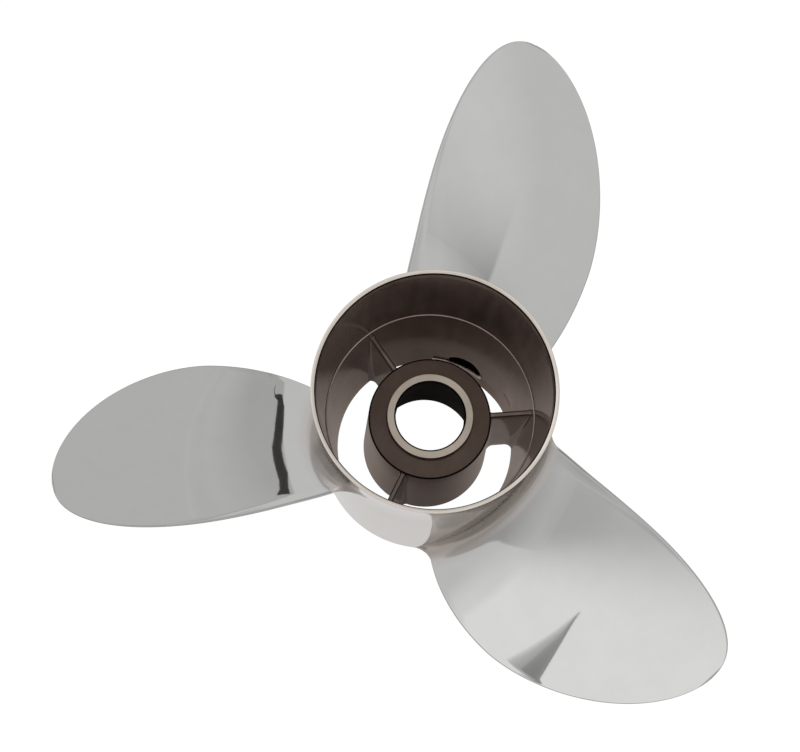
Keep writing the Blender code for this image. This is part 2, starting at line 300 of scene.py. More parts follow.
class Finish:
    """A procedural material under construction: its nodes, and the shader they lead to."""

    def __init__(self, name, colour, metallic, roughness, **more):
        self.material = bpy.data.materials.new(name)
        self.material.use_nodes = True
        self.tree = self.material.node_tree
        self.shader = self.tree.nodes["Principled BSDF"]
        self.set(self.shader, {"Base Color": (*colour, 1), "Metallic": metallic, "Roughness": roughness})
        self.set(self.shader, {key.replace("_", " ").capitalize(): value for key, value in more.items()})
        self.place = self.tree.nodes.new("ShaderNodeTexCoord").outputs["Object"]

    def set(self, node, values):
        for key, value in values.items():
            if hasattr(value, "is_output"):
                self.tree.links.new(value, node.inputs[key])
            else:
                node.inputs[key].default_value = value

    def node(self, kind, values=None, **settings):
        made = self.tree.nodes.new(kind)
        for key, value in settings.items():
            setattr(made, key, value)
        self.set(made, values or {})
        return made

    def vector(self, operation, *values):
        """One Vector Math node, and what it gives."""
        made = self.node("ShaderNodeVectorMath", dict(enumerate(values)), operation=operation)
        return made.outputs["Value" if operation == "LENGTH" else "Vector"]

    def noise(self, scale, detail=3.0, stretch=(1, 1, 1), roughness=0.5):
        """Fractal noise, from 0 to 1, stretched along an axis where one is made smaller."""
        place = self.node("ShaderNodeMapping", {"Vector": self.place, "Scale": stretch})
        made = self.node("ShaderNodeTexNoise", {"Vector": place.outputs[0], "Scale": scale,
                                                "Detail": detail, "Roughness": roughness})
        return made.outputs["Fac"]

    def rings(self, scale, distortion=0.0):
        """Fine rings round the axis, as a lathe tool leaves them."""
        made = self.node("ShaderNodeTexWave", {"Vector": self.place, "Scale": scale,
                                               "Distortion": distortion, "Detail": 2.0},
                         wave_type="RINGS", rings_direction="Z")
        return made.outputs["Fac"]

    def ramp(self, value, stops):
        made = self.node("ShaderNodeValToRGB", {"Fac": value})
        steps = made.color_ramp.elements
        while len(steps) < len(stops):
            steps.new(0.5)
        for step, (position, colour) in zip(steps, stops):
            step.position = position
            step.color = (*colour, 1) if isinstance(colour, tuple) else (colour, colour, colour, 1)
        return made.outputs["Color"]

    def spread(self, value, low, high):
        """Maps 0 to 1 onto low to high."""
        made = self.node("ShaderNodeMapRange", {"Value": value, "To Min": low, "To Max": high})
        return made.outputs[0]

    def relief(self, height, distance, strength=1.0, under=None):
        values = {"Height": height, "Distance": distance, "Strength": strength}
        if under is not None:
            values["Normal"] = under
        made = self.node("ShaderNodeBump", values)
        return made.outputs["Normal"]


def polished_barrel_steel():
    """Buffed stainless with a warm cast: faint clouds, and buffing marks that run round."""
    finish = Finish("polished_barrel_steel", (0.57, 0.52, 0.475), 1.0, 0.08)
    clouds = finish.noise(28, detail=4)
    finish.set(finish.shader, {"Base Color": finish.ramp(clouds, [(0.3, (0.555, 0.505, 0.46)),
                                                                  (0.7, (0.585, 0.535, 0.49))])})
    marks = finish.noise(220, detail=5, stretch=(1, 1, 9))
    finish.set(finish.shader, {"Roughness": finish.spread(marks, 0.04, 0.10),
                               "Normal": finish.relief(marks, 0.00001, 0.25)})
    return finish.material


def turned_steel(name, colour, low, high, roughness):
    """Turned stainless, a little uneven in colour, with the tool's fine rings."""
    finish = Finish(name, colour, 1.0, roughness)
    rings = finish.rings(900, distortion=0.6)
    blotches = finish.noise(90, detail=4)
    finish.set(finish.shader, {"Base Color": finish.ramp(blotches, [(0.3, low), (0.7, high)]),
                               "Roughness": finish.spread(rings, roughness - 0.06, roughness + 0.06),
                               "Normal": finish.relief(rings, 0.00001, 0.35)})
    return finish.material


def cast_skin_steel(name, low, high):
    """The brown skin that the mould leaves: half gloss, wavy, finely pebbled, and streaked up the walls."""
    finish = Finish(name, low, 0.8, 0.25)
    blotches = finish.noise(55, detail=5, roughness=0.6)
    streaks = finish.noise(150, detail=4, stretch=(1, 1, 0.12))
    grain = finish.noise(1500, detail=3)
    waves = finish.noise(90, detail=2)
    under = finish.relief(waves, 0.0003, 0.2)
    both = finish.node("ShaderNodeMath", {0: blotches, 1: streaks}, operation="ADD")
    both = finish.node("ShaderNodeMath", {0: both.outputs[0], 1: 0.5}, operation="MULTIPLY")
    finish.set(finish.shader, {"Base Color": finish.ramp(both.outputs[0], [(0.38, low), (0.62, high)]),
                               "Roughness": finish.spread(streaks, 0.08, 0.24),
                               "Normal": finish.relief(grain, 0.00002, 0.25, under)})
    return finish.material


def near_black_steel():
    """Almost black steel with a dull sheen: painted shade inside the pocket, and near-black on the bore, the
    lip's band, the mark and the hub's edges.
    """
    finish = Finish("near_black_steel", (0.006, 0.0055, 0.0055), 0.0, 0.55)
    finish.set(finish.shader, {"Specular IOR Level": 0.05})
    mottle = finish.noise(180, detail=4)
    finish.set(finish.shader, {"Base Color": finish.ramp(mottle, [(0.3, (0.003, 0.003, 0.003)),
                                                                (0.7, (0.009, 0.008, 0.0075))]),
                               "Roughness": finish.spread(mottle, 0.45, 0.7),
                               "Normal": finish.relief(mottle, 0.00005, 0.4)})
    return finish.material


barrel_steel = polished_barrel_steel()
lip_steel = turned_steel("turned_lip_steel", (0.80, 0.73, 0.66), (0.76, 0.69, 0.62), (0.84, 0.77, 0.70), 0.32)
cast_steel = cast_skin_steel("cast_skin_steel", (0.31, 0.24, 0.21), (0.43, 0.345, 0.31))
black_steel = near_black_steel()


def barrel_radius(height):
    """The outside of the barrel: a slight draft that runs smoothly into the flared tail."""
    radius = FORE_RADIUS + (WAIST_RADIUS - FORE_RADIUS) * min(height / FLARE_START, 1)
    share = max(0, (height - FLARE_START) / (BARREL_LENGTH - FLARE_START))
    return radius + (RIM_RADIUS - WAIST_RADIUS) * share * (1 + share) / 2


def barrel_corners():
    """Up the outside, over the rim, down the tail's bore, the step and the passages' wall."""
    flare = [FLARE_START + (BARREL_LENGTH - FLARE_START) * share / 14 for share in range(14)]
    outside = [(FORE_RADIUS, 0, 0.0008, POLISHED)]
    outside += [(barrel_radius(height), height, 0, POLISHED) for height in (0.025, 0.05, 0.075, 0.095)]
    outside += [(barrel_radius(height), height, 0, POLISHED) for height in flare]
    lip_radius = RIM_RADIUS - LIP_WIDTH
    lip_height = BARREL_LENGTH - LIP_FALL
    rim = [(RIM_RADIUS, BARREL_LENGTH, 0.0004, MACHINED),
           (RIM_RADIUS - LIP_FLAT, BARREL_LENGTH, 0.0003, MACHINED),
           # the lip's inner rounding and the band below it are painted near-black
           (lip_radius, lip_height, 0.0009, NEAR_BLACK),
           (lip_radius - 0.0001, lip_height - LIP_BLACK_BAND, 0, CAST),
           (lip_radius - BORE_MOUTH_DRAW, BARREL_LENGTH - BORE_MOUTH_FALL, 0.002, CAST)]
    inside = [(TAIL_BORE_RADIUS, STEP_HEIGHT + STEP_SLOPE, 0.0001, CAST),
              (PASSAGE_AFT_RADIUS, STEP_HEIGHT, 0.0001, CAST)]
    # rows close enough together to carry the pockets
    rows = [0.040] + [MARK_HEIGHT + rise for rise in (0.0008, 0.0003, -0.0003)]
    rows += [POCKET_SILL + POCKET_RISE * share / 26 for share in range(26, 0, -1)]
    rows += [POCKET_SILL - fall for fall in (-0.0001, 0, 0.0001, 0.0015, 0.003, 0.005, 0.008)]
    slope = (PASSAGE_AFT_RADIUS - PASSAGE_FORE_RADIUS) / STEP_HEIGHT
    inside += [(PASSAGE_FORE_RADIUS + slope * height, height, 0, CAST) for height in rows]
    return outside + rim + inside + [(PASSAGE_FORE_RADIUS, 0, 0.0008, MACHINED)]


def pockets(tree, turn, height, radius):
    """Cuts the half-moon pocket and the mark, draws the wall below it in as a sill, and paints the pocket's
    shade and the mark near-black.
    """
    maths = tree.maths
    wall = maths("LESS_THAN", radius, (PASSAGE_AFT_RADIUS + WAIST_RADIUS) / 2)
    wall = wall * maths("LESS_THAN", height, HOLLOWS_BELOW)
    bearing = maths("WRAP", turn - math.radians(POCKET_BEARING), math.pi, -math.pi)
    across = bearing * (PASSAGE_FORE_RADIUS / POCKET_HALF_WIDTH)
    up = (height - POCKET_SILL) / POCKET_RISE
    inside = 1 - maths("SQRT", across * across + up * up)
    recess = tree.clamped(inside / POCKET_EDGE) * wall
    cut = recess * maths("GREATER_THAN", up, 0.001)
    below = wall * maths("LESS_THAN", up, -0.001)
    sill = tree.eased((bearing - SILL_START) / SILL_EDGE)
    sill = sill * tree.eased((SILL_END - bearing) / SILL_EDGE)
    flank = tree.eased((bearing - FLANK_START) / FLANK_RUN) - sill
    flank = tree.clamped(flank) * maths("LESS_THAN", bearing, 0)
    flank = flank * tree.clamped(-up * POCKET_RISE / POCKET_SILL)
    sill = (sill + flank) * below
    off_mark = maths("ABSOLUTE", turn - math.radians(MARK_BEARING))
    mark = maths("LESS_THAN", off_mark, math.radians(MARK_HALF_SPAN)) * wall
    mark = mark * maths("LESS_THAN", maths("ABSOLUTE", height - MARK_HEIGHT), MARK_HALF_WIDTH)
    # painted shade: the pocket's deep inside, which the wall above shades, is painted near-black
    dark = maths("GREATER_THAN", recess, 0.3) * maths("GREATER_THAN", up, -0.001)
    painted_black = maths("MAXIMUM", dark, mark)
    return radius + cut * POCKET_DEPTH - sill * SILL_DEPTH + mark * MARK_DEPTH, painted_black


barrel = turned("barrel", rounded(barrel_corners()), [barrel_steel, lip_steel, cast_steel, black_steel],
                hollows=pockets)
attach(barrel, "root")
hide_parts("hub_barrel")


# The inner hub is the cup in the middle of the casting, that the shaft's rubber bush is pressed into. Its
# aft wall is bare casting with a turned collar, where the shaft's spacer bears, and its bore is painted
# near-black.
HUB_FORE_HEIGHT = 0.0010
HUB_FORE_RADIUS = 0.0320
HUB_AFT_RADIUS = 0.0299
HUB_AFT_HEIGHT = 0.0753
HUB_EDGE_ROUND = 0.0006
BORE_FORE_RADIUS = 0.0250
BORE_AFT_RADIUS = 0.0240
BORE_DEPTH = 0.0700
COLLAR_RADIUS = 0.0209
COLLAR_HEIGHT = 0.0821
COLLAR_FOOT_HEIGHT = 0.0780
SHAFT_HOLE_RADIUS = 0.0167
SHAFT_HOLE_MOUTH = 0.0015
FORE_BLACK_BAND = (0.00006, 0.0024)    # how far the near-black band reaches in and up from the fore edge
AFT_BLACK_BAND = (0.0008, 0.00025)     # and from the aft edge


def end_wall_steel():
    """The hub's aft wall: blasted casting, matt and brown."""
    finish = Finish("end_wall_steel", (0.16, 0.12, 0.10), 0.55, 0.5)
    blotches = finish.noise(70, detail=5, roughness=0.6)
    grain = finish.noise(1800, detail=3)
    finish.set(finish.shader, {"Base Color": finish.ramp(blotches, [(0.3, (0.165, 0.118, 0.095)),
                                                                    (0.7, (0.215, 0.16, 0.13))]),
                               "Roughness": finish.spread(grain, 0.42, 0.6),
                               "Normal": finish.relief(grain, 0.00004, 0.4)})
    return finish.material


# the collar has dulled, and is browner than the rim's lip
collar_steel = turned_steel("turned_collar_steel", (0.47, 0.405, 0.34), (0.43, 0.365, 0.305),
                            (0.51, 0.445, 0.375), 0.34)
wall_steel = end_wall_steel()
WALL, COLLAR, BORE, SIDE = range(4)
# the cup's two outer edges are painted near-black
hub_corners = [(HUB_FORE_RADIUS, HUB_FORE_HEIGHT, 0.0009, BORE),
               (HUB_FORE_RADIUS - FORE_BLACK_BAND[0], HUB_FORE_HEIGHT + FORE_BLACK_BAND[1], 0, SIDE),
               (HUB_AFT_RADIUS, HUB_AFT_HEIGHT, HUB_EDGE_ROUND, BORE),
               (HUB_AFT_RADIUS - AFT_BLACK_BAND[0], HUB_AFT_HEIGHT + AFT_BLACK_BAND[1], 0, WALL),
               (COLLAR_RADIUS + 0.0004, COLLAR_FOOT_HEIGHT, 0.0003, WALL),
               (COLLAR_RADIUS, COLLAR_FOOT_HEIGHT - 0.0003, 0.0001, WALL),
               (COLLAR_RADIUS, COLLAR_HEIGHT, 0.0003, COLLAR),
               (SHAFT_HOLE_RADIUS, COLLAR_HEIGHT, 0.0008, BORE),
               (SHAFT_HOLE_RADIUS, BORE_DEPTH + SHAFT_HOLE_MOUTH, 0.0005, BORE),
               (BORE_AFT_RADIUS, BORE_DEPTH, 0.002, BORE),
               (BORE_FORE_RADIUS, HUB_FORE_HEIGHT, 0.0005, BORE)]
inner_hub = turned("inner_hub_casting", rounded(hub_corners),
                   [wall_steel, collar_steel, black_steel, cast_steel])
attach(inner_hub, "root")
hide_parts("inner_hub")


# Three ribs hold the hub in the barrel and part the exhaust passages. They are cast in one with both,
# with fillets where they meet the walls, and their aft edges are rounded.
RIB_THICKNESS = 0.0026
RIB_FORE_THICKNESS = 0.0042
RIB_FORE_HEIGHT = 0.0022
RIB_AFT_HEIGHT = 0.0735
RIB_FORE_FILLET = 0.0040
RIB_AFT_FILLET = 0.0010
RIB_EDGE_ROUND = 0.0008
RIB_SINK = 0.0001                # the fillets' feet run this far into the walls, so no seam shows
RIB_FILLET_STEPS = 8
RIB_EDGE_STEPS = 6
RIB_LEVELS = 10


def rib_outline(height, shrink):
    """One level of a rib on +X, its flanks pulled in by shrink: out on the left and back on the right."""
    share = (height - HUB_FORE_HEIGHT) / (HUB_AFT_HEIGHT - HUB_FORE_HEIGHT)
    inner = HUB_FORE_RADIUS + (HUB_AFT_RADIUS - HUB_FORE_RADIUS) * share - RIB_SINK
    outer = PASSAGE_FORE_RADIUS + (PASSAGE_AFT_RADIUS - PASSAGE_FORE_RADIUS) * height / STEP_HEIGHT
    outer += RIB_SINK
    share = (height - RIB_FORE_HEIGHT) / (RIB_AFT_HEIGHT - RIB_FORE_HEIGHT)
    half = (RIB_FORE_THICKNESS + (RIB_THICKNESS - RIB_FORE_THICKNESS) * share) / 2 - shrink
    fillet = RIB_FORE_FILLET + (RIB_AFT_FILLET - RIB_FORE_FILLET) * share
    foot = []
    for step in range(RIB_FILLET_STEPS + 1):
        turn = math.pi / 2 * step / RIB_FILLET_STEPS
        foot.append((half + fillet * (1 - math.sin(turn)), fillet * (1 - math.cos(turn))))
    left = [(math.sqrt((inner + off_wall) ** 2 - y * y), y) for y, off_wall in foot]
    left += [(math.sqrt((outer - off_wall) ** 2 - y * y), y) for y, off_wall in reversed(foot)]
    right = [(x, -y) for x, y in reversed(left)]
    return [(x, y, height) for x, y in left + right]


def rib_mesh():
    shape = bmesh.new()
    turns = [math.pi / 2 * step / RIB_EDGE_STEPS for step in range(RIB_EDGE_STEPS + 1)]
    levels = [(RIB_FORE_HEIGHT + RIB_EDGE_ROUND * (1 - math.cos(turn)),
               RIB_EDGE_ROUND * (1 - math.sin(turn))) for turn in turns]
    middle = [(RIB_FORE_HEIGHT + (RIB_AFT_HEIGHT - RIB_FORE_HEIGHT) * level / RIB_LEVELS, 0)
              for level in range(1, RIB_LEVELS)]
    top = [(RIB_AFT_HEIGHT + RIB_FORE_HEIGHT - height, shrink) for height, shrink in reversed(levels)]
    rings = [[shape.verts.new(point) for point in rib_outline(height, shrink)]
             for height, shrink in levels + middle + top]
    for low, high in zip(rings, rings[1:]):
        for i, corner in enumerate(low):
            j = (i + 1) % len(low)
            shape.faces.new((corner, low[j], high[j], high[i]))
    for ring in (rings[0], rings[-1]):
        count = len(ring)
        for i in range(count // 2 - 1):
            shape.faces.new((ring[i], ring[i + 1], ring[count - 2 - i], ring[count - 1 - i]))
    bmesh.ops.recalc_face_normals(shape, faces=shape.faces)
    mesh = bpy.data.meshes.new("rib")
    shape.to_mesh(mesh)
    shape.free()
    mesh.shade_smooth()
    return mesh


def repeated(tree, geometry):
    """Lays the piece out three times, evenly round the axis."""
    single = tree.node("GeometryNodeGeometryToInstance", {"Geometry": geometry})
    copies = tree.node("GeometryNodeDuplicateElements", {"Geometry": tree.out(single),
                                                         "Amount": tree.size("Copies")}, domain="INSTANCE")
    turn = tree.out(copies, "Duplicate Index") * math.tau / tree.size("Copies")
    angles = tree.node("ShaderNodeCombineXYZ", {"Z": turn})
    placed = tree.node("GeometryNodeRotateInstances", {"Instances": tree.out(copies),
                                                       "Rotation": tree.out(angles)})
    return tree.out(placed)


# painted shade: the ribs take a much darker copy of the casting's skin, to dull their upward-facing tops,
# though they are cast in one with the walls
shaded_rib_steel = cast_skin_steel("rib_skin_painted_shade", (0.11, 0.082, 0.07), (0.18, 0.137, 0.118))
rib_tree = Tree("ribs round the hub", {"Copies": BLADES})
rib_tree.finished(repeated(rib_tree, Field(rib_tree, rib_tree.given.outputs[0])), [shaded_rib_steel])
ribs = rib_tree.make("ribs", rib_mesh(), 50)
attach(ribs, "root")
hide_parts("rib_1", "rib_2", "rib_3")


# The blades follow one rule: a helix of constant pitch, raked aft, whose trailing edge is cupped. They are
# cast with the barrel, ground and polished bright, with a fillet all round each root.
INCH = 0.0254
ROOT_LEAN = 0.29                 # cosine of the angle at which the blades leave the barrel
FOOT_SINK = 0.00015              # their feet run this far into the barrel, so no seam shows
FILLET_CROWDING = 1.3            # above 1, the fillet's rows crowd towards its foot
THINNING = 1.2                   # how fast the blades thin outwards
FULLNESS = 0.9                   # below 1, the thickness stays fuller towards the edges
EDGE_ROUND = 0.6                 # the edges' rounding reaches this far in, in edge thicknesses
TIP_ROUND = 0.5
CUP_FADE_RADIUS = 0.078          # outside this, the cup grows narrower
FILED_BELOW = 0.85               # how far in the edges' rounding was filed and painted darker, as a share of full thickness
FILED_WIDTH = 0.0008             # and how far in from the leading edge and the tip
FILLET_SATIN_AND_SHADE = (0.0565, 0.0675)  # from the axis: where the fillets' satin and painted shade begin to give way, and where they end
blade_sizes = {
    "Tip radius": 7 * INCH - 0.00001,
    "Pitch": 20.5 * INCH,
    "Rake": math.radians(29.8),
    "Rake bend": 0.30,
    "Generator height": 0.0726,
    "Tip angle": math.radians(69.16),
    "Generator angle": math.radians(75.8),
    "Leading width": 0.0592,
    "Leading widest radius": 0.1135,
    "Leading root loss": 0.302,
    "Leading rise": 1.81,
    "Leading fall": 0.582,
    "Leading toe": 0.0080,
    "Trailing width": 0.0323,
    "Trailing widest radius": 0.1071,
    "Trailing root loss": 0.091,
    "Trailing rise": 2.20,
    "Trailing fall": 0.397,
    "Trailing toe": 0.0180,
    "Root thickness": 0.0095,
    "Tip thickness": 0.0022,
    "Edge thickness": 0.0016,
    "Hollow": 0.005,
    "Cup slope": 0.24,
    "Cup width": 0.0048,
    "Cup end radius": 0.162,
    "Leading roll": 0.0002,
    "Roll width": 0.0038,
    "Root fillet": 0.0075,
    "Copies": BLADES,
    "Points round": 192,
    "Fillet rows": 18,
    "Blade rows": 84,
}


def blade_tree(finishes):
    """The tree that rolls each section of a blade round its own cylinder.

    u runs round a section: from the trailing edge along the pressure face to the leading edge, and back
    along the suction face. Rows run out from the barrel, round the fillet and up to the tip.
    """
    tree = Tree("propeller blades", blade_sizes)
    size = tree.size
    maths = tree.maths
    rows = size("Fillet rows") + size("Blade rows")
    grid = tree.node("GeometryNodeMeshGrid", {"Size X": 1.0, "Size Y": 1.0,
                                              "Vertices X": size("Points round") + 1,
                                              "Vertices Y": rows + 3})
    place = tree.node("ShaderNodeSeparateXYZ", {0: tree.out(tree.node("GeometryNodeInputPosition"))})
    u = tree.out(place, "X") + 0.5
    row = maths("ROUND", (tree.out(place, "Y") + 0.5) * (rows + 2))
    side = maths("SIGN", u - 0.5)
    share = (maths("COSINE", u * math.tau) + 1) * 0.5
    inside = maths("GREATER_THAN", row, 0.5)

    # height above the barrel: round the fillet's arc first, and then on up the blade
    fillet = size("Root fillet")
    last_turn = math.acos(-ROOT_LEAN)
    fillet_share = tree.clamped((row - 2) / size("Fillet rows")) ** FILLET_CROWDING
    blade_share = tree.clamped((row - 2 - size("Fillet rows")) / size("Blade rows"))
    fillet_top = fillet * (1 + ROOT_LEAN)
    tip = size("Tip radius")
    height = fillet * (1 - maths("COSINE", fillet_share * last_turn))
    height = height + (tip - WAIST_RADIUS - fillet_top) * maths("SINE", blade_share * (math.pi / 2))
    sunk = maths("LESS_THAN", row, 1.5) * FOOT_SINK
    radius = height + WAIST_RADIUS

    def edge(width, widest, loss, rise, fall):
        low = maths("MAXIMUM", (widest - radius) / (widest - RIM_RADIUS), 0)
        high = tree.clamped((radius - widest) / (tip - widest))
        return width * (1 - loss * low * low) * (1 - high ** rise) ** fall

    leading = edge(size("Leading width"), size("Leading widest radius"), size("Leading root loss"),
                   size("Leading rise"), size("Leading fall"))
    trailing = edge(size("Trailing width"), size("Trailing widest radius"), size("Trailing root loss"),
                    size("Trailing rise"), size("Trailing fall"))
    width = leading + trailing
    climb = tree.clamped(height / fillet)
    toe = 1 - maths("SQRT", 1 - (1 - climb) * (1 - climb))
    pitch_angle = maths("ARCTANGENT", size("Pitch") / (radius * math.tau))
    slope, level = maths("SINE", pitch_angle), maths("COSINE", pitch_angle)
    start = -leading - size("Leading toe") * toe
    end = trailing + size("Trailing toe") * toe * level
    arc = start + (end - start) * share

    # thickness, with both edges and the tip rounded
    span = tree.clamped((radius - RIM_RADIUS) / (tip - RIM_RADIUS))
    thin = size("Edge thickness")
    full = size("Root thickness") - size("Tip thickness")
    full = size("Tip thickness") + full * (1 - span) ** THINNING
    full = maths("MINIMUM", full, thin + width * 0.2)
    chord = tree.clamped((arc + leading) / maths("MAXIMUM", width, 1e-6))
    thickness = thin + (full - thin) * (4 * chord * (1 - chord)) ** FULLNESS
    nearest = maths("MINIMUM", share, 1 - share) * (end - start)
    inset = 1 - tree.clamped(nearest / (thin * EDGE_ROUND))
    tip_inset = 1 - tree.clamped((tip - radius) / (thin * TIP_ROUND))
    roundness = maths("SQRT", 1 - inset * inset) * maths("SQRT", 1 - tip_inset * tip_inset)

    # the face: slightly hollow, turned up in a narrow cup behind and rolled off in front
    cup_end = size("Cup end radius")
    cup_fade = tree.clamped((cup_end - radius) / (cup_end - CUP_FADE_RADIUS))
    cup_width = size("Cup width") * cup_fade + 0.00001
    cup = tree.clamped(1 - (1 - chord) * width / cup_width)
    cup = size("Cup slope") * cup_width * cup * (0.6 + 0.4 * cup) * tree.eased(span * 4)
    roll = tree.clamped(1 - chord * width / size("Roll width"))
    roll = size("Leading roll") * roll * roll * (1 - side) * 0.5 * roundness * inside
    hollow = size("Hollow") * width * 4 * chord * (1 - chord)

    # the fillet: a circle that touches the leaning blade and the barrel
    cosine = -side * roundness * ROOT_LEAN
    sine = maths("SQRT", 1 - cosine * cosine)
    fall = maths("MAXIMUM", fillet * fillet - (fillet - height) * (fillet - height), 0)
    swell = fillet * (1 + cosine) / sine - maths("SQRT", fall) - height * cosine / sine
    swell = swell * maths("LESS_THAN", height, fillet * (1 + cosine)) * inside
    end_taper = maths("SQRT", 1 - maths("ABSOLUTE", 2 * share - 1) ** 6)
    swell = swell * end_taper * (0.4 + 0.6 * tree.eased(share / 0.2))

    offset = thickness * 0.5 - cup + roll + hollow + side * (thickness * 0.5 * roundness * inside + swell)
    climb_arc = maths("SMOOTH_MAX", arc, -leading, 0.002)
    angle = size("Tip angle") + (arc + offset * slope) / radius
    lead = size("Tip angle") + climb_arc / radius - size("Generator angle")
    out = radius - RIM_RADIUS
    lift = size("Generator height") + out * maths("TANGENT", size("Rake"))
    lift = lift + size("Rake bend") * out * (radius - tip)
    lift = lift + size("Pitch") * lead / math.tau - offset * level
    lift = maths("SMOOTH_MAX", lift, 0.0004, 0.0006)

    # the barrel's own draft and flare under the root
    flare = tree.clamped((lift - FLARE_START) / (BARREL_LENGTH - FLARE_START))
    wall = FORE_RADIUS + (WAIST_RADIUS - FORE_RADIUS) * maths("MINIMUM", lift / FLARE_START, 1)
    wall = wall + (RIM_RADIUS - WAIST_RADIUS) * flare * (1 + flare) * 0.5
    fade = 1 - tree.eased(height / (fillet * 3))
    reach = radius + (wall - WAIST_RADIUS) * fade - sunk
    where = tree.round_axis(reach, angle, lift)
    # painted reflection: the filed strips take the darker edge steel
    filed_dark_edge = maths("LESS_THAN", maths("MINIMUM", share * (end - start), tip - radius), FILED_WIDTH)
    filed_dark_edge = maths("MAXIMUM", filed_dark_edge, maths("LESS_THAN", roundness, FILED_BELOW))
    filed_dark_edge = filed_dark_edge * maths("GREATER_THAN", climb, 0.999)
    tree.finished(repeated(tree, tree.skinned(grid, filed_dark_edge, where)), finishes)
    return tree


def mirror_steel():
    """Mirror-polished stainless: faint polishing haze, and the slow ripple that hand grinding leaves."""
    finish = Finish("mirror_steel", (0.63, 0.63, 0.62), 1.0, 0.04)
    haze = finish.noise(60, detail=6, roughness=0.65)
    ripple = finish.noise(22, detail=1)
    scratches = finish.noise(500, detail=4, stretch=(1, 1, 0.08))
    under = finish.relief(ripple, 0.0006, 0.1)
    # the wheel can't reach into the fillets, so they keep a duller satin; their colour is also painted darker
    # and warmer towards the foot, as painted shade in the crease
    from_axis = finish.vector("LENGTH", finish.vector("MULTIPLY", finish.place, (1, 1, 0)))
    polished_and_unshaded = finish.node("ShaderNodeMapRange", {"Value": from_axis,
                                                 "From Min": FILLET_SATIN_AND_SHADE[0], "From Max": FILLET_SATIN_AND_SHADE[1]},
                          interpolation_type="SMOOTHSTEP").outputs[0]
    tints = finish.node("ShaderNodeMix", {"Factor": polished_and_unshaded}, data_type="RGBA")
    finish.tree.links.new(finish.ramp(polished_and_unshaded, [(0.0, (0.44, 0.39, 0.355)), (0.4, (0.59, 0.54, 0.51))]),
                          tints.inputs[6])
    finish.tree.links.new(finish.ramp(haze, [(0.3, (0.62, 0.62, 0.61)), (0.7, (0.645, 0.645, 0.635))]),
                          tints.inputs[7])
    shine = finish.node("ShaderNodeMapRange", {"Value": polished_and_unshaded, "To Min": 0.22})
    finish.tree.links.new(finish.spread(haze, 0.02, 0.05), shine.inputs["To Max"])
    finish.set(finish.shader, {"Base Color": tints.outputs[2], "Roughness": shine.outputs[0],
                               "Metallic": finish.spread(polished_and_unshaded, 0.8, 1.0),
                               "Normal": finish.relief(scratches, 0.000004, 0.2, under)})
    return finish.material


def filed_edge_painted_dark():
    """The blades' thin edges, rounded with a fine file and rougher than the faces, and painted darker as a
    painted reflection of dark surroundings.
    """
    finish = Finish("filed_edge_painted_dark", (0.49, 0.49, 0.485), 1.0, 0.2)
    marks = finish.noise(400, detail=4)
    finish.set(finish.shader, {"Roughness": finish.spread(marks, 0.14, 0.26),
                               "Normal": finish.relief(marks, 0.00001, 0.2)})
    return finish.material


blade_steel = mirror_steel()
filed_dark_edge_steel = filed_edge_painted_dark()
nothing = bpy.data.meshes.new("blade")
blades = blade_tree([blade_steel, filed_dark_edge_steel]).make("blades", nothing, 40)
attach(blades, "root")
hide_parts("blade_1", "blade_2", "blade_3")


# The studio: a plain white sweep lit evenly from all round, and the camera where the photographer stood,
# nearly above the propeller's open tail.
FLOOR_RADIUS = 6.0


def staged(name, mesh, paper):
    mesh.materials.append(paper.material)
    made = bpy.data.objects.new(name, mesh)
    bpy.context.scene.collection.objects.link(made)
    return made


def disc(name, radius, height, paper):
    mesh = bpy.data.meshes.new(name)
    shape = bmesh.new()
    bmesh.ops.create_circle(shape, cap_ends=True, segments=96, radius=radius)
    bmesh.ops.translate(shape, verts=shape.verts, vec=(0, 0, height))
    shape.to_mesh(mesh)
    shape.free()
    return staged(name, mesh, paper)


# the sheet that the camera sees is lit through from below, as on a light table, so it hardly shades
glow = Finish("lit_paper", (0.02, 0.02, 0.02), 0.0, 0.9)
glow.set(glow.shader, {"Emission Color": (1, 1, 1, 1), "Emission Strength": 1.0})
floor = disc("floor", FLOOR_RADIUS, 0, glow)
floor.visible_diffuse = False
floor.visible_glossy = False
floor.visible_shadow = False


def sums(tree, operation, *values):
    """One Math node over plain numbers and sockets."""
    made = tree.nodes.new("ShaderNodeMath")
    made.operation = operation
    for value, socket in zip(values, made.inputs):
        if hasattr(value, "is_output"):
            tree.links.new(value, socket)
        else:
            socket.default_value = value
    return made.outputs[0]


def faded(tree, value, low, high, start=0.0, end=1.0):
    """Passes smoothly from start to end as the value goes from low to high."""
    made = tree.nodes.new("ShaderNodeMapRange")
    made.interpolation_type = "SMOOTHSTEP"
    for label, number in (("From Min", low), ("From Max", high), ("To Min", start), ("To Max", end)):
        made.inputs[label].default_value = number
    tree.links.new(value, made.inputs["Value"])
    return made.outputs[0]


def along(tree, way, direction):
    """How far a direction or a spot lies along another direction."""
    made = tree.nodes.new("ShaderNodeVectorMath")
    made.operation = "DOT_PRODUCT"
    made.inputs[1].default_value = direction
    tree.links.new(way, made.inputs[0])
    return made.outputs["Value"]


# bearing and climb in degrees, the cosines between which the lamp fades in, and its light; the last is a
# dark stand
EVEN_LIGHT = 0.65
LAMPS = ((149, 14, 0.74, 0.97, 0.40),
         (-62, 28, 0.75, 0.98, 0.085),
         (-30, 20, 0.88, 1.00, 0.10),
         (0, 90, 0.80, 1.00, 0.20),
         (196, -6, 0.94, 1.00, -0.08))
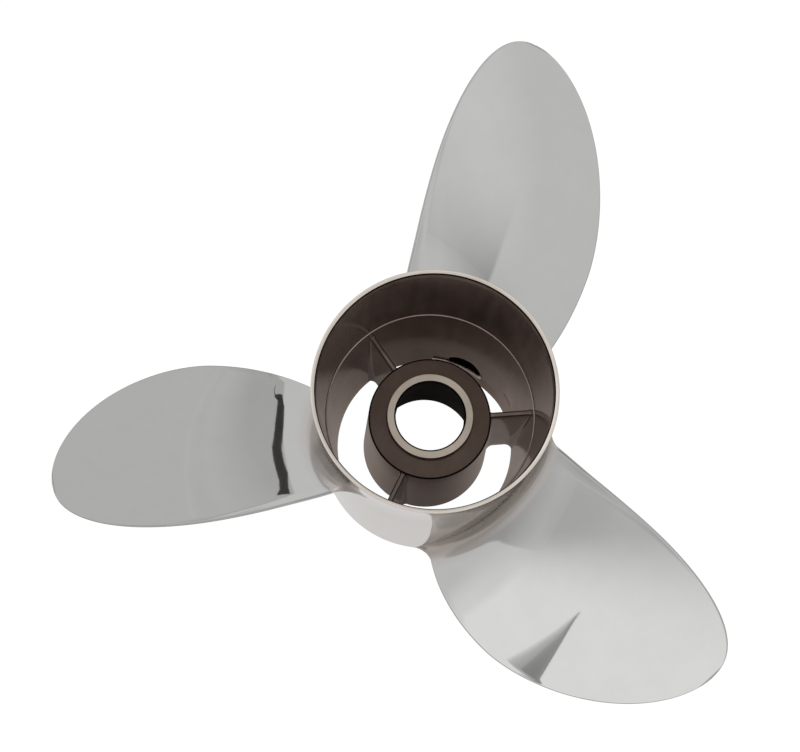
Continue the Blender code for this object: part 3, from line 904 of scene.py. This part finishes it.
# a screen leans beyond the top blade, and shades most along its edge and near the floor
SCREEN_EDGE = (0.5955, 0.6595, 0.4587)
SCREEN_REACH = 0.33
SCREEN_SOFTNESS = (-0.005, 0.02)
SCREEN_DEPTH = 0.25
SCREEN_HEIGHT = (-0.02, 0.36)
SCREEN_SIDE = (0.71, -0.70, 0)
SCREEN_SIDE_FADE = (0.2, 0.5)


def surroundings(tree, way):
    """How bright the studio is along a direction: even light, and what each lamp adds."""
    total = EVEN_LIGHT
    for bearing, climb, near, far, light in LAMPS:
        bearing, climb = math.radians(bearing), math.radians(climb)
        facing = along(tree, way, (math.cos(bearing) * math.cos(climb),
                                   math.sin(bearing) * math.cos(climb), math.sin(climb)))
        total = sums(tree, "ADD", faded(tree, facing, near, far, 0.0, light), total)
    return total


def screened(tree, way, light):
    """That light, less what the screen keeps off."""
    past = along(tree, way, SCREEN_EDGE)
    dark = sums(tree, "MINIMUM", sums(tree, "DIVIDE", past, SCREEN_REACH), 1.0)
    dark = sums(tree, "MULTIPLY", sums(tree, "SUBTRACT", 1.0, dark), faded(tree, past, *SCREEN_SOFTNESS))
    depth = faded(tree, along(tree, way, (0, 0, 1)), *SCREEN_HEIGHT, SCREEN_DEPTH, 0.0)
    dark = sums(tree, "MULTIPLY", dark, depth)
    dark = sums(tree, "MULTIPLY", dark, faded(tree, along(tree, way, SCREEN_SIDE), *SCREEN_SIDE_FADE))
    return sums(tree, "SUBTRACT", light, dark)


# the steel mirrors another sheet, which the camera doesn't see. Near the propeller it has one brightness,
# and towards the horizon it takes on that of the studio; behind the dark strip that crosses it, it carries a
# painted shade
MIRRORED_DROP = 0.0004           # it lies this far below the floor
NEAR_LIGHT = 0.80
NEAR_REACH = 0.5
NEAR_SHARE = 0.5
BLADE_ROOT = 0.08                # a blade's mirroring part lies this far from the axis, and as high
BLADE_LAG = math.radians(115)    # and this far round from what it mirrors
STRIP_NORMAL = (0.866, 0.499, 0)
STRIP_OFFSET = 0.0406
STRIP_SOFTNESS = 0.003
STRIP_START = (0.0, 0.08)
SHADE = 0.27
SHADE_REACH = 0.05
FAR_SHADE = 0.08
SHADE_END = (1.2, 5.0)
LEFT_BEHIND = 0.2                # the share of the shade that is left beyond that
CORNER_LEFT = (0.050, 0.058)     # where a shadow begins in the sheet's near left corner
CORNER_UP = (-0.052, -0.044)
CORNER_SHADE = 0.38
CORNER_REACH = 0.1
PATCH_LEFT = (0.09, 0.11)        # and a smaller one on the far left
PATCH_UP = (0.05, 0.09)
PATCH_END = (0.19, 0.23)
PATCH_SHADE = 0.45
sheet = Finish("sweep_paper", (0.02, 0.02, 0.02), 0.0, 0.9)
paper = sheet.tree
distance = sheet.vector("LENGTH", sheet.place)
# which way each spot lies from the blade that mirrors it
mirroring = sheet.vector("NORMALIZE", sheet.place)
mirroring = sheet.node("ShaderNodeVectorRotate", {"Vector": mirroring, "Angle": BLADE_LAG},
                       rotation_type="Z_AXIS").outputs[0]
mirroring = sheet.vector("MULTIPLY", mirroring, (BLADE_ROOT, BLADE_ROOT, BLADE_ROOT))
outward = sheet.vector("SUBTRACT", sheet.place, mirroring)
outward = sheet.vector("NORMALIZE", sheet.vector("SUBTRACT", outward, (0, 0, BLADE_ROOT)))
far = sums(paper, "SUBTRACT", 1.0, sums(paper, "DIVIDE", NEAR_REACH, distance))
far = sums(paper, "MAXIMUM", far, NEAR_SHARE)
gain = sums(paper, "SUBTRACT", surroundings(paper, outward), NEAR_LIGHT)
plain = screened(paper, outward, sums(paper, "MULTIPLY_ADD", gain, far, NEAR_LIGHT))
leftward = along(paper, sheet.place, (-1, 0, 0))
upward = along(paper, sheet.place, (0, 1, 0))
behind = faded(paper, along(paper, sheet.place, STRIP_NORMAL), STRIP_OFFSET, STRIP_OFFSET + STRIP_SOFTNESS)
behind = sums(paper, "MULTIPLY", behind, faded(paper, upward, *STRIP_START))
shade = sums(paper, "ADD", sums(paper, "DIVIDE", SHADE_REACH, distance), FAR_SHADE)
shade = sums(paper, "MINIMUM", SHADE, shade)
shade = sums(paper, "MULTIPLY", shade, faded(paper, distance, *SHADE_END, 1.0, LEFT_BEHIND))
shade = sums(paper, "MULTIPLY", behind, shade)
corner = sums(paper, "MULTIPLY", faded(paper, leftward, *CORNER_LEFT),
              faded(paper, upward, *CORNER_UP, 1.0, 0.0))
thinning = sums(paper, "MINIMUM", CORNER_SHADE, sums(paper, "DIVIDE", CORNER_REACH, distance))
corner = sums(paper, "MULTIPLY", corner, thinning)
patch = sums(paper, "MULTIPLY", faded(paper, leftward, *PATCH_LEFT), faded(paper, upward, *PATCH_UP))
patch = sums(paper, "MULTIPLY", patch, faded(paper, distance, *PATCH_END, PATCH_SHADE, 0.0))
light = plain
for shadow in (shade, corner, patch):
    light = sums(paper, "MULTIPLY", light, sums(paper, "SUBTRACT", 1.0, shadow))
sheet.set(sheet.shader, {"Emission Color": (1, 1, 1, 1), "Emission Strength": light,
                         "Specular IOR Level": 0.0})
mirrored_floor = disc("mirrored_floor", FLOOR_RADIUS, -MIRRORED_DROP, sheet)
mirrored_floor.visible_camera = False

# under the barrel the sheet is lit from below too, more at its two sides, and that light climbs the
# exhaust passages
PANEL_RADIUS = 0.052
PANEL_DROP = 0.0002
PANEL_LIGHT = 0.115
PANEL_SIDE_LIGHT = 0.18
light_box = Finish("light_box", (0.02, 0.02, 0.02), 0.0, 0.9)
beneath = light_box.tree
across = along(beneath, light_box.place, (1, 0, 0))
reach = light_box.vector("LENGTH", light_box.place)
across = sums(beneath, "DIVIDE", across, reach)
across = sums(beneath, "MULTIPLY", across, across)
across = sums(beneath, "MULTIPLY_ADD", across, PANEL_SIDE_LIGHT, PANEL_LIGHT)
light_box.set(light_box.shader, {"Emission Color": (1, 0.86, 0.78, 1), "Emission Strength": across})
panel = disc("lit_panel", PANEL_RADIUS, -PANEL_DROP, light_box)
panel.visible_camera = False
panel.visible_shadow = False


def card(name, corners, paper):
    """A flat card beside the set, seen only in the steel's reflections."""
    mesh = bpy.data.meshes.new(name)
    mesh.from_pydata(corners, [], [list(range(len(corners)))])
    made = staged(name, mesh, paper)
    made.visible_camera = False
    made.visible_diffuse = False
    made.visible_shadow = False


black_paper = Finish("black_paper", (0.045, 0.04, 0.04), 0.0, 0.9)
strip_far = [(0.0040, 0.1222), (0.0037, 0.1272), (-0.0025, 0.1250), (-0.0090, 0.1175), (-0.0188, 0.1430),
             (-0.0259, 0.1749), (-0.0346, 0.1925), (-0.0567, 0.2237), (-0.0664, 0.2527), (-0.0712, 0.2886)]
strip_near = [(0.0028, 0.1222), (0.0022, 0.1256), (-0.0020, 0.1230), (-0.0077, 0.1125), (-0.0130, 0.1041),
              (-0.0192, 0.1042), (-0.0257, 0.1180), (-0.0338, 0.1470), (-0.0442, 0.1655), (-0.0553, 0.1775),
              (-0.0692, 0.2153), (-0.0780, 0.2330)]
card("dark_strip", [(x, y, 0.001) for x, y in strip_far + strip_near[::-1]], black_paper)

world = bpy.data.worlds.new("studio")
bpy.context.scene.world = world
world.use_nodes = True
sky = world.node_tree
backdrop = sky.nodes["Background"]
sky_way = sky.nodes.new("ShaderNodeTexCoord").outputs["Generated"]
sky.links.new(screened(sky, sky_way, surroundings(sky, sky_way)), backdrop.inputs["Strength"])
backdrop.inputs["Color"].default_value = (1, 1, 1, 1)
bpy.context.scene.view_settings.view_transform = "Standard"

camera_data = bpy.data.cameras.new("camera")
camera_data.lens = 84.48
camera = bpy.data.objects.new("camera", camera_data)
camera.location = (-0.04816, -0.17873, 0.97141)
camera.rotation_euler = [math.radians(turn) for turn in (12.7676, -1.2785, -4.3430)]
bpy.context.scene.collection.objects.link(camera)
bpy.context.scene.camera = camera
